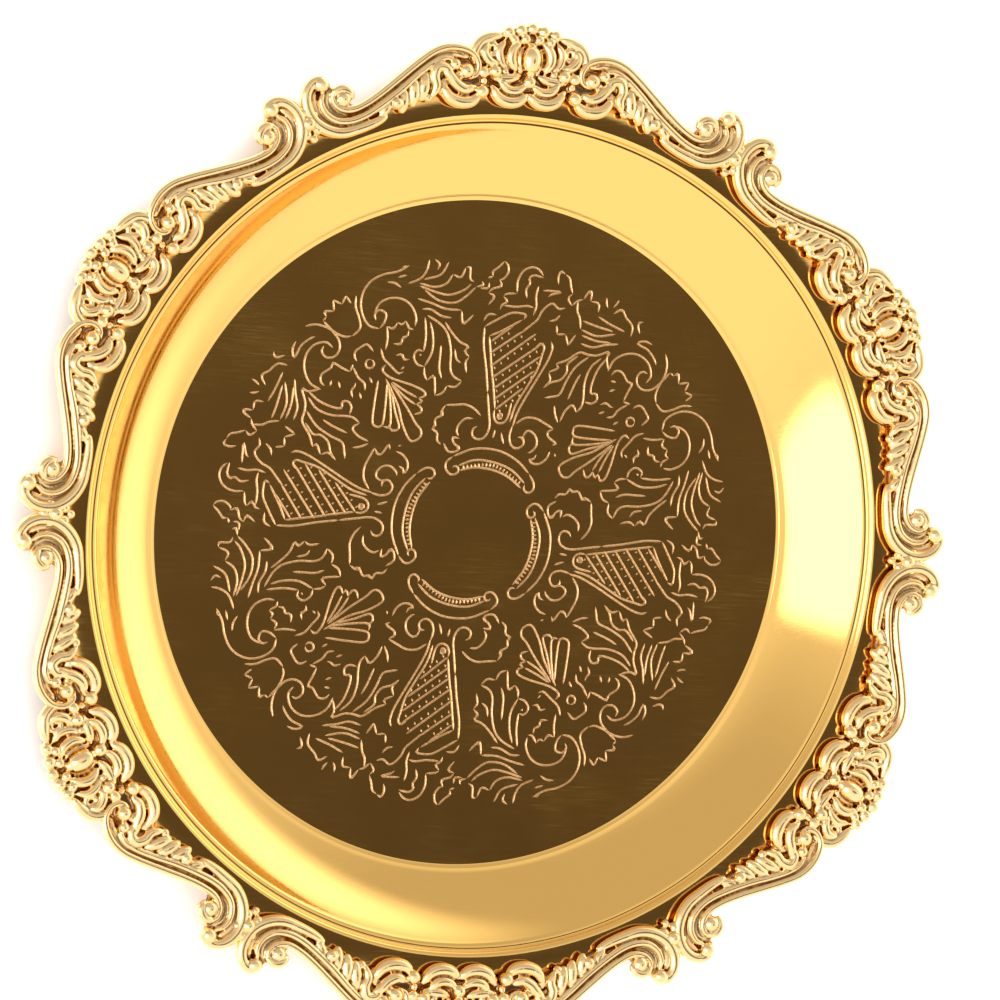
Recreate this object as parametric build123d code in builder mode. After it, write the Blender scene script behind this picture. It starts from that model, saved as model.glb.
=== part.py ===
from build123d import *
from math import atan2, cos, degrees, radians, sin
import os

# A small round ceremonial plate with an applied rococo border.
#
# The dish is one pressed sheet: a flat well, a curved wall and a narrow flat flange.
# Cast mounts are soldered end to end round the flange. Each hooks over the flange's edge with a lip.
# Six equal sectors repeat round +Z. In each, a rosette mount lies on the sector's middle line,
# a left and a right scroll mount flank it, and a bud mount closes the gap to the next sector.
#
# Frame: +Z up through the middle of the dish, origin on the table under it, sector 1's rosette on +Y.
# All sizes are in millimetres.

# Driving dimensions of the dish
SHEET = 0.8  # thickness of the pressed metal
WELL_RADIUS = 36.9  # flat engraved well
RIM_RADIUS = 46.6  # where the wall has rolled over into the flange
RIM_RISE = 5.9  # flange above the well
FLANGE_RADIUS = 49.6  # edge of the sheet
BASE_RADIUS = 37.9  # flat underside that the dish rests on

# Points of the dish's section, as radius and height
SHELF_EDGE = (37.35, 1.0)  # a narrow shelf runs round the well, one small step up
WALL_FOOT = (37.65, 1.01)
WALL_MIDDLE = (41.57, 3.06)
WALL_HEAD = (45.0, 5.85)
WALL_CURL = (45.29, 6.04)  # the wall levels off into a second narrow shelf under the flange
LEDGE_START = (45.63, 6.11)
LEDGE_END = (45.85, 6.13)
ROLL_MIDDLE = (46.13, 6.54)  # the rounded step from that shelf up to the flange
UNDERSIDE_MIDDLE = (42.1, 2.35)

# Driving dimensions of the border
SECTORS = 6
SECTOR_ANGLE = 360 / SECTORS
WEB = 0.9  # thickness of a casting's flat back
LIP_WIDTH = 0.8  # the lip that hooks over the sheet's edge
ROSETTE_SEAM = ((4.6, 46.5), (6.9, 54.5))  # seam line between a rosette mount and a scroll mount
BUD_SEAM_ANGLE = 28.5  # seam between a scroll mount and a bud mount, from the sector's middle line
SEAM_REACH = 66.0  # far side of the space that a casting may fill
SEAM_START = 38.0  # near side of that space
CAST_HEIGHT = 8.0  # height of that space

EYE = 1.25  # the ball at a bar's end, as a multiple of the bar's radius
FLANGE_TOP = SHEET + RIM_RISE
PETAL_HALF_WIDTH = 0.8
SCROLL_BAND_RADIUS = 0.75
LOWER_BAND_RADIUS = 0.6

# Rosette mount: the sizes of its right half, mirrored for the left
FLOWER = (0.0, 52.4)  # middle of the flower
FLOWER_WEB_RADIUS = 3.5
BOSS_REACH = 1.75  # half the length of the flower's middle
BOSS_HALF_WIDTH = 1.3
FAN_STEP = 33.0  # angle between two upper petals of the flower
FAN_START = 1.7  # the upper petals lie between these distances from the flower's middle
FAN_END = 3.8
SIDE_LEAF = ((3.2, 52.5), (6.1, 53.9))  # foot and tip of the leaf beside the flower
SIDE_LEAF_HALF_WIDTH = 0.9
SIDE_PETAL = ((2.0, 51.3), (5.4, 51.2))
FOOT_LEAF = ((0.3, 49.3), (3.9, 48.4))  # the leaf under the flower
FOOT_LEAF_HALF_WIDTH = 1.0
SIDE_BEAD = (4.5, 49.9)
SIDE_BEAD_RADIUS = 0.75
SIDE_WEB = ((4.7, 52.7), 2.2)  # middle and radius of each round lobe of the web
FOOT_WEBS = (((2.1, 49.6), 2.1), ((4.0, 49.9), 2.1))

# Right scroll mount
LIP_MIDDLE = (7.4, 49.4)  # middle of the curled lip beside the flower
LIP_RADIUS = 1.7
LIP_THICKNESS = 0.55
HOOK_EYE = (9.2, 50.8)  # knob in the hook of the S-scroll
HOOK_EYE_RADIUS = 0.8
BALL = (21.4, 46.9)  # the ball in the volute
BALL_RADIUS = 1.5
SCROLL_WEBS = ((LIP_MIDDLE, 2.1), ((7.9, 51.4), 1.8), (BALL, 1.5), ((24.3, 46.6), 1.0))
SCROLL_WEB_OUTLINE = (  # the web under the bands and the leaves
    (7.6, 48.6),
    (7.6, 52.4),
    (11.4, 52.5),
    (17.9, 46.9),
    (20.0, 45.4),
    (24.2, 46.2),
    (24.2, 43.0),
    (21.5, 42.9),
    (17.0, 44.8),
    (14.8, 46.1),
    (12.4, 47.2),
    (10.4, 48.0),
)
SCROLL_LEAVES = (  # foot and tip of each leaf under the S-scroll
    ((11.2, 51.2), (10.6, 47.6)),
    ((12.9, 50.1), (12.4, 46.7)),
    ((14.5, 48.7), (14.1, 45.8)),
    ((16.2, 47.1), (15.9, 45.0)),
)

# Bud mount, along +Y
BUD = ((0.0, 48.9), (0.0, 52.1))
BUD_HALF_WIDTH = 0.95
BUD_WEB_MIDDLE = (0.0, 50.4)
BUD_WEB_WIDTH = 3.6
BUD_WEB_LENGTH = 3.0

RELIEF_SINK = 0.15  # the relief's round bodies have their middles this far under the web's top
RELIEF = FLANGE_TOP + WEB - RELIEF_SINK
DOWN = Vector(0, 0, -1)


def dish_profile():
    """Half of the dish's section in the XZ plane, as a face."""
    with BuildSketch(Plane.XZ) as profile:
        with BuildLine():
            Polyline((0, 0), (0, SHEET), (WELL_RADIUS, SHEET), SHELF_EDGE, WALL_FOOT)
            ThreePointArc(WALL_FOOT, WALL_MIDDLE, WALL_HEAD)
            ThreePointArc(WALL_HEAD, WALL_CURL, LEDGE_START)
            Line(LEDGE_START, LEDGE_END)
            ThreePointArc(LEDGE_END, ROLL_MIDDLE, (RIM_RADIUS, FLANGE_TOP))
            Polyline(
                (RIM_RADIUS, FLANGE_TOP),
                (FLANGE_RADIUS, FLANGE_TOP),
                (FLANGE_RADIUS, RIM_RISE),
                (RIM_RADIUS, RIM_RISE),
            )
            ThreePointArc((RIM_RADIUS, RIM_RISE), UNDERSIDE_MIDDLE, (BASE_RADIUS, 0))
            Line((BASE_RADIUS, 0), (0, 0))
        make_face()
    return profile.sketch


def round_bar(path, radius):
    """A round bar along a level path, with a small ball at each end."""
    with BuildPart() as bar:
        with BuildSketch(Plane(origin=path @ 0, x_dir=DOWN, z_dir=path % 0)):
            Circle(radius)
        sweep(path=path)
        for place in (0, 1):
            with Locations(path @ place):
                Sphere(radius * EYE)
    return bar.part


def petal(foot, tip, half_width):
    """A plump leaf or petal between two points on the relief's level."""
    along = Vector(*tip) - Vector(*foot)
    middle = (Vector(*foot) + Vector(*tip)) / 2
    with BuildPart() as egg:
        Sphere(1)
        scale(by=(along.length / 2, half_width, half_width))
    with BuildPart() as body:
        with Locations((middle.X, middle.Y, RELIEF)):
            add(egg.part, rotation=(0, 0, degrees(atan2(along.Y, along.X))))
    return body.part


def crescent(middle, radius, thickness):
    """A curled lip: a round bar along the half circle that bulges towards the dish's middle."""
    with BuildLine(Plane.XY.offset(RELIEF)) as path:
        CenterArc(middle, radius, 180, 180)
    return round_bar(path.wire(), thickness)


def ball(middle, radius):
    """A round knob on the relief's level."""
    with BuildPart() as knob:
        with Locations((*middle, RELIEF)):
            Sphere(radius)
    return knob.part


def on_ray(angle, distance):
    """The point at a distance from the dish's axis, at an angle clockwise from +Y."""
    return (distance * sin(radians(angle)), distance * cos(radians(angle)))


def seam_at(distance):
    """The point of the rosette's seam line at a distance along +Y."""
    (x_in, y_in), (x_out, y_out) = ROSETTE_SEAM
    share = (distance - y_in) / (y_out - y_in)
    return (x_in + share * (x_out - x_in), distance)


def space(corners):
    """The space over an outline that one casting may fill."""
    with BuildPart() as room:
        with BuildSketch(Plane.XY.offset(FLANGE_TOP - SHEET)):
            with BuildLine():
                Polyline(corners, close=True)
            make_face()
        extrude(amount=CAST_HEIGHT)
    return room.part


def rosette_space():
    """The space between the two seam lines that flank a rosette."""
    near = seam_at(SEAM_START)
    far = seam_at(SEAM_REACH)
    return space([near, far, (-far[0], far[1]), (-near[0], near[1])])


def scroll_space():
    """The space between a rosette's seam line and a bud's seam line."""
    corners = [seam_at(SEAM_START), seam_at(SEAM_REACH)]
    corners += [on_ray(BUD_SEAM_ANGLE, SEAM_REACH), on_ray(BUD_SEAM_ANGLE, SEAM_START)]
    return space(corners)


def bud_space():
    """The space between the seams of two neighbouring sectors, with the bud along +Y."""
    half_angle = SECTOR_ANGLE / 2 - BUD_SEAM_ANGLE
    corners = [on_ray(-half_angle, SEAM_START), on_ray(-half_angle, SEAM_REACH)]
    corners += [on_ray(half_angle, SEAM_REACH), on_ray(half_angle, SEAM_START)]
    return space(corners)


def lip(web):
    """The part of a casting under its web that hooks over the sheet's edge."""
    with BuildPart() as hook:
        with BuildSketch(Plane.XY.offset(FLANGE_TOP - SHEET)):
            Circle(FLANGE_RADIUS + LIP_WIDTH)
            Circle(FLANGE_RADIUS, mode=Mode.SUBTRACT)
        extrude(amount=SHEET)
        with BuildSketch(Plane.XY.offset(FLANGE_TOP - SHEET)):
            add(web)
        extrude(amount=SHEET, mode=Mode.INTERSECT)
    return hook.part


def casting(web, reliefs, room):
    """One mount: a flat web, the relief on it and the lip under it, trimmed to its share of the border."""
    with BuildPart() as body:
        with BuildSketch(Plane.XY.offset(FLANGE_TOP)):
            add(web)
        extrude(amount=WEB)
        for relief in reliefs:
            add(relief)
        split(bisect_by=Plane.XY.offset(FLANGE_TOP), keep=Keep.TOP)
        add(lip(web))
        add(room, mode=Mode.INTERSECT)
    return body.part


def turned_over(point, side):
    """A point of a mount's right half, mirrored to the left half when side is -1."""
    return (side * point[0], point[1])


def rosette_web():
    """Outline of a rosette mount: the flower and the leaves beside it."""
    with BuildSketch() as outline:
        with Locations(FLOWER):
            Circle(FLOWER_WEB_RADIUS)
        for side in (-1, 1):
            for middle, radius in (SIDE_WEB, *FOOT_WEBS):
                with Locations(turned_over(middle, side)):
                    Circle(radius)
    return outline.sketch


def rosette_relief():
    """The flower's boss and petals and the leaves beside it."""
    x_mid, y_mid = FLOWER
    pieces = [petal((x_mid, y_mid - BOSS_REACH), (x_mid, y_mid + BOSS_REACH), BOSS_HALF_WIDTH)]
    for step in range(-2, 3):
        across = sin(radians(step * FAN_STEP))
        up = cos(radians(step * FAN_STEP))
        foot = (x_mid + FAN_START * across, y_mid + FAN_START * up)
        tip = (x_mid + FAN_END * across, y_mid + FAN_END * up)
        pieces.append(petal(foot, tip, PETAL_HALF_WIDTH))
    for side in (-1, 1):
        for (foot, tip), half_width in (
            (SIDE_LEAF, SIDE_LEAF_HALF_WIDTH),
            (SIDE_PETAL, PETAL_HALF_WIDTH),
            (FOOT_LEAF, FOOT_LEAF_HALF_WIDTH),
        ):
            pieces.append(petal(turned_over(foot, side), turned_over(tip, side), half_width))
        pieces.append(ball(turned_over(SIDE_BEAD, side), SIDE_BEAD_RADIUS))
    return pieces


def scroll_line():
    """Middle line of the S-scroll: a hook by the rosette, a crest, a slope and the bowl of the volute."""
    with BuildLine(Plane.XY.offset(RELIEF)) as path:
        hook = ThreePointArc((8.1, 50.0), (6.7, 51.3), (7.9, 52.75))
        crest = TangentArc((7.9, 52.75), (11.4, 52.2), tangent=hook % 1)
        slope = TangentArc((11.4, 52.2), (17.6, 46.6), tangent=crest % 1)
        bowl = TangentArc((17.6, 46.6), (24.6, 46.4), tangent=slope % 1)
        TangentArc((24.6, 46.4), (23.9, 48.2), tangent=bowl % 1)
    return path.wire()


def lower_band_line():
    """Middle line of the short band that carries the S-scroll's bowl."""
    with BuildLine(Plane.XY.offset(RELIEF)) as path:
        ThreePointArc((16.6, 45.8), (19.6, 43.9), (23.0, 43.4))
    return path.wire()


def scroll_web():
    """Outline of a right scroll mount: the lip, the hook, the bands, the volute's ball and the leaves."""
    with BuildSketch() as outline:
        with BuildLine():
            Polyline(SCROLL_WEB_OUTLINE, close=True)
        make_face()
        for middle, radius in SCROLL_WEBS:
            with Locations(middle):
                Circle(radius)
    return outline.sketch


def scroll_relief():
    """The bands of a right scroll, its lip and knobs and the leaves under it."""
    pieces = [round_bar(scroll_line(), SCROLL_BAND_RADIUS)]
    pieces.append(round_bar(lower_band_line(), LOWER_BAND_RADIUS))
    pieces.append(crescent(LIP_MIDDLE, LIP_RADIUS, LIP_THICKNESS))
    pieces.append(ball(HOOK_EYE, HOOK_EYE_RADIUS))
    pieces.append(ball(BALL, BALL_RADIUS))
    for foot, tip in SCROLL_LEAVES:
        pieces.append(petal(foot, tip, PETAL_HALF_WIDTH))
    return pieces


def bud_web():
    """Outline of a bud mount, with the line between two sectors along +Y."""
    with BuildSketch() as outline:
        with Locations(BUD_WEB_MIDDLE):
            Rectangle(BUD_WEB_WIDTH, BUD_WEB_LENGTH)
    return outline.sketch


def bud_relief():
    """A small bud."""
    return [petal(*BUD, BUD_HALF_WIDTH)]


def write(name, shape):
    """Labels one finished piece and writes its STEP file."""
    shape.label = name
    export_step(shape, f"parts/{name}.step")


def write_turned(name, template, sectors):
    """Writes a copy of a mount, turned by a number of sectors round +Z."""
    write(name, template.rotate(Axis.Z, sectors * SECTOR_ANGLE))


os.makedirs("parts", exist_ok=True)

section = dish_profile()
with BuildPart() as dish:
    add(section)
    revolve(axis=Axis.Z)
write("dish", dish.part)

rosette = casting(rosette_web(), rosette_relief(), rosette_space())
right_scroll = casting(scroll_web(), scroll_relief(), scroll_space())
left_scroll = right_scroll.mirror(Plane.YZ)
bud = casting(bud_web(), bud_relief(), bud_space())

for sector in range(SECTORS):
    write_turned(f"rosette_mount_{sector + 1}", rosette, sector)
    write_turned(f"right_scroll_mount_{sector + 1}", right_scroll, sector)
    write_turned(f"left_scroll_mount_{sector + 1}", left_scroll, sector)
    write_turned(f"bud_mount_{sector + 1}", bud, sector + 0.5)
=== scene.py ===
"""Looks of the small gilt paten plate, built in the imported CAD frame.

The dish is one turned mesh whose flat well carries the engraving as real V grooves. The border's mounts are
cast reliefs. Lengths are in the model's millimetres and turn into metres in make_mesh().
"""

from math import atan2, ceil, cos, hypot, pi, radians, sin, tan

import bmesh
import bpy
import numpy as np
from mathutils import Matrix, Vector
from mathutils.geometry import delaunay_2d_cdt
from mathutils.kdtree import KDTree


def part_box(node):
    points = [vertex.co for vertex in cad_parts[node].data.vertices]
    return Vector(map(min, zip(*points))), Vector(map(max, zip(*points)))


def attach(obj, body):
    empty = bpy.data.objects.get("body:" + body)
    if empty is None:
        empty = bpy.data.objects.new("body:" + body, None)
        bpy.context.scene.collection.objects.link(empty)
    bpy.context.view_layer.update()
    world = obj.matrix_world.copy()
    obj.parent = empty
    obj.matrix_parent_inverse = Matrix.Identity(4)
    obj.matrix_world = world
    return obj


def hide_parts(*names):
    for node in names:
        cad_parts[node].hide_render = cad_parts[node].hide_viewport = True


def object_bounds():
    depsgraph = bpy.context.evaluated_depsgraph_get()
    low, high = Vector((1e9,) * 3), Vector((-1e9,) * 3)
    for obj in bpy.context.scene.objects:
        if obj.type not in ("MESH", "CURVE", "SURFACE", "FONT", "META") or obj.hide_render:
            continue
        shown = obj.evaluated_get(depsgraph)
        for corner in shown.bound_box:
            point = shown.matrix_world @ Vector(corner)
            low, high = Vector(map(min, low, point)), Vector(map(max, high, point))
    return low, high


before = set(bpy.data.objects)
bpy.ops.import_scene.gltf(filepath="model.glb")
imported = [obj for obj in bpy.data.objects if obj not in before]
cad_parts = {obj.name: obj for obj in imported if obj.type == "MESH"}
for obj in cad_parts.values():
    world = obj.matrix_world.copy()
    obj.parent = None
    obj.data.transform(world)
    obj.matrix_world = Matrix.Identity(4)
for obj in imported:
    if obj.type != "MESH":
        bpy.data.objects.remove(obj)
cad_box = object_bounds()

# Scale from the model's millimetres to metres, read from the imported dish
FLANGE_DIAMETER = 99.2
dish_low, dish_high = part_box("dish")
UNIT = (dish_high[0] - dish_low[0]) / FLANGE_DIAMETER

# The dish's section, in millimetres
SHEET = 0.8
WELL_RADIUS = 36.9
WELL_TOP = SHEET
RIM_RADIUS = 46.6
FLANGE_TOP = 6.7
FLANGE_BOTTOM = 5.9
FLANGE_RADIUS = 49.6
# Radius and height along the section; an arc has its start, middle and end, and its number of steps
WELL_STEP = ((37.0, 0.81), (37.3, 0.97), (37.38, 1.0), (37.62, 1.005))
WALL_ARC = ((37.65, 1.01), (41.57, 3.06), (45.0, 5.85), 28)
WALL_CURL = ((45.0, 5.85), (45.29, 6.04), (45.63, 6.11), 6)
LEDGE = (45.8, 6.12)
RIM_ROLL = ((45.85, 6.14), (46.13, 6.54), (RIM_RADIUS, FLANGE_TOP), 8)
FLANGE_EDGE = (
    (47.5, FLANGE_TOP),
    (49.45, FLANGE_TOP),
    (49.57, 6.66),
    (FLANGE_RADIUS, 6.56),
    (FLANGE_RADIUS, 6.04),
    (49.57, 5.94),
    (49.45, FLANGE_BOTTOM),
)
UNDERSIDE_ARC = ((RIM_RADIUS, FLANGE_BOTTOM), (42.1, 2.35), (38.1, 0.09), 20)
BASE = ((37.9, 0.0), (30.0, 0.0))
TURN_STEPS = 256

# The border
SECTORS = 6
SECTOR_ANGLE = 360 / SECTORS


def make_mesh(name, points, faces):
    """A smooth mesh object from points in millimetres."""
    mesh = bpy.data.meshes.new(name)
    mesh.from_pydata([(x * UNIT, y * UNIT, z * UNIT) for x, y, z in points], [], faces)
    mesh.polygons.foreach_set("use_smooth", [True] * len(mesh.polygons))
    mesh.update()
    piece = bpy.data.objects.new(name, mesh)
    bpy.context.scene.collection.objects.link(piece)
    return piece


def smooth_line(points, steps=12, closed=False):
    """A Catmull-Rom curve through points of any dimension."""
    knots = [np.array(point, float) for point in points]
    if closed:
        knots = [knots[-1]] + knots + knots[:2]
    else:
        knots = [2 * knots[0] - knots[1]] + knots + [2 * knots[-1] - knots[-2]]
    line = []
    for a, b, c, d in zip(knots, knots[1:], knots[2:], knots[3:]):
        for step in range(steps):
            t = step / steps
            bend = (2 * a - 5 * b + 4 * c - d) * t**2
            twist = (3 * b - a - 3 * c + d) * t**3
            line.append(0.5 * (2 * b + (c - a) * t + bend + twist))
    if not closed:
        line.append(knots[-2])
    return line


# ---------------------------------------------------------------- the dish
def arc_through(start, middle, end, steps):
    """Points on the circular arc through three points of the section, without the first one."""
    (ax, ay), (bx, by), (cx, cy) = start, middle, end
    d = 2 * (ax * (by - cy) + bx * (cy - ay) + cx * (ay - by))
    ux = ((ax**2 + ay**2) * (by - cy) + (bx**2 + by**2) * (cy - ay) + (cx**2 + cy**2) * (ay - by)) / d
    uy = ((ax**2 + ay**2) * (cx - bx) + (bx**2 + by**2) * (ax - cx) + (cx**2 + cy**2) * (bx - ax)) / d
    radius = hypot(ax - ux, ay - uy)
    first, mid, last = (atan2(y - uy, x - ux) for x, y in (start, middle, end))
    while mid - first > pi:
        mid -= 2 * pi
    while mid - first < -pi:
        mid += 2 * pi
    while last - mid > pi:
        last -= 2 * pi
    while last - mid < -pi:
        last += 2 * pi
    turns = [first + (last - first) * step / steps for step in range(1, steps + 1)]
    return [(ux + radius * cos(turn), uy + radius * sin(turn)) for turn in turns]


def dish_section():
    """Radius and height of the dish's rings, from the well's edge over the flange and back to the base."""
    section = [(WELL_RADIUS, WELL_TOP), *WELL_STEP]
    section += arc_through(*WALL_ARC)
    section += arc_through(*WALL_CURL)
    section += [LEDGE]
    section += arc_through(*RIM_ROLL)
    section += [*FLANGE_EDGE, (RIM_RADIUS, FLANGE_BOTTOM)]
    section += arc_through(*UNDERSIDE_ARC)
    section += BASE
    return section


def ring_point(radius, height, step):
    """A point of the turned dish."""
    angle = 2 * pi * step / TURN_STEPS
    return (radius * cos(angle), radius * sin(angle), height)


# ---------------------------------------------------------------- the engraving
# One quarter of the engraving, in millimetres, with a harp's axis along +Y. The well has it four times.
# Each motif is a list of strokes, and a stroke is the few points that a smooth tool line runs through.
ENGRAVING_TURN = -10.0  # the first harp's axis, in degrees from +Y
QUARTERS = 4
TOOL_HALF_WIDTH = 0.12
TOOL_ANGLE = 30.0  # slope of the groove's sides, in degrees
STROKE_STEP = 0.3
TAPER = 0.55  # length of a stroke's pointed end, which is at most a third of the stroke
NO_LENGTH = 1e-9  # stands for the square of a span without length
MERGE_GAP = 1e-4  # points of the engraving closer than this are one point
CUT_DEPTH = 0.005  # a face deeper than this is the tool's cut
WELD_GAP = 1e-7  # in metres

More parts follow.
